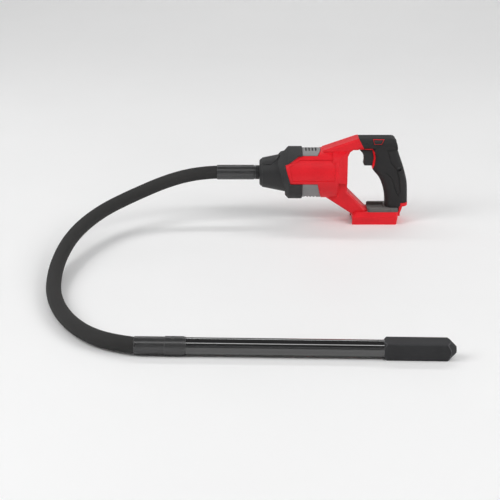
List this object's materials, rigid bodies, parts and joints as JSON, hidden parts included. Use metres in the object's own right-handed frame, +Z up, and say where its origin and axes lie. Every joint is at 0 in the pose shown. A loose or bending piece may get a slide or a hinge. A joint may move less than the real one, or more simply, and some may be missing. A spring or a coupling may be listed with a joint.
{
  "type": "concrete vibrator",
  "caption": "Cordless D-handle concrete vibrator: motor unit with battery foot, rubber flexible shaft and a pencil head with a square chamfered tip.",
  "frame": {"origin": "on the middle plane of the foot's bottom face, 35.6 mm behind its front edge, on the floor the tool stands on", "axes": "+X from the nose towards the rear of the handle, parallel to the motor's axis; +Y to the operator's right; +Z up"},
  "size_m": [0.5776, 0.675, 0.148],
  "materials": {
    "red_plastic": "satin moulded",
    "red_trim": "satin moulded",
    "grip_rubber": "matt overmould",
    "collar_rubber": "matt moulded",
    "cover_dark": "matt moulded",
    "vent_grey": "fine textured",
    "cap_grey": "fine textured",
    "black_plastic": "fine textured",
    "die_cast": "as cast",
    "steel": "ground",
    "black_steel": "satin black oxide",
    "head_black": "polished black",
    "tip_dark": "matt black oxide",
    "hose_rubber": "matt",
    "copper": "enamelled wire",
    "brass": "bright",
    "board": "solder mask",
    "wire_red": "insulation",
    "lamination": "stacked sheet",
    "magnet": "nickel plated"
  },
  "bodies": {
    "motor_unit": {"housing_left": "red_plastic", "housing_right": "red_plastic", "grip_left": "grip_rubber", "grip_right": "grip_rubber", "trigger_bezel": "red_trim", "button_bezels": "red_trim", "housing_screws": "black_steel", "front_collar": "collar_rubber", "nose_cover": "cover_dark", "drive_housing": "die_cast", "nose_ring": "black_plastic", "tool_ferrule": "black_steel", "vent_cover_top": "vent_grey", "vent_cover_bottom": "vent_grey", "vent_screens": "black_plastic", "stator_core": "lamination", "stator_coils": "copper", "sensor_board": "board", "front_bearing": "steel", "rear_bearing": "steel", "switch_module": "black_plastic", "switch_leads": "wire_red", "motor_leads": "wire_red", "control_board": "board", "power_transistors": "black_plastic", "battery_shoe": "black_plastic", "terminal_block": "black_plastic", "terminal_blades": "brass", "foot_cap": "cap_grey", "hose": "hose_rubber", "flexible_core": "steel", "head_ferrule": "black_steel", "head_tube": "head_black", "head_tip": "tip_dark", "head_bearing_rear": "steel", "head_bearing_front": "steel", "oil_seal": "black_plastic"},
    "trigger": {"trigger": "cover_dark"},
    "lock_button": {"lock_button": "cover_dark"},
    "rotor": {"rotor_shaft": "steel", "rotor_core": "lamination", "rotor_magnets": "magnet", "cooling_fan": "black_plastic", "drive_coupling": "steel", "core_tool_stub": "steel"},
    "eccentric": {"eccentric_rotor": "steel", "core_head_stub": "steel"}
  },
  "joints": [
    {"name": "trigger_pull", "type": "slide", "parent": "motor_unit", "child": "trigger", "axis": [1, 0, 0], "range_m": [0, 0.006], "stiffness_N_per_m": 400, "springref_m": -0.004},
    {"name": "lock_button_slide", "type": "slide", "parent": "motor_unit", "child": "lock_button", "axis": [0, 1, 0], "range_m": [0, 0.004]},
    {"name": "rotor_spin", "type": "hinge", "parent": "motor_unit", "child": "rotor", "pos_m": [-0.115, 0, 0.085], "axis": [-1, 0, 0], "continuous": true},
    {"name": "eccentric_spin", "type": "hinge", "parent": "motor_unit", "child": "eccentric", "pos_m": [-0.3646, -0.603, 0.013], "axis": [0.9994, -0.0342, 0], "continuous": true}
  ],
  "couplings": [
    {"joint": "eccentric_spin", "follows": "rotor_spin", "ratio": 1}
  ]
}
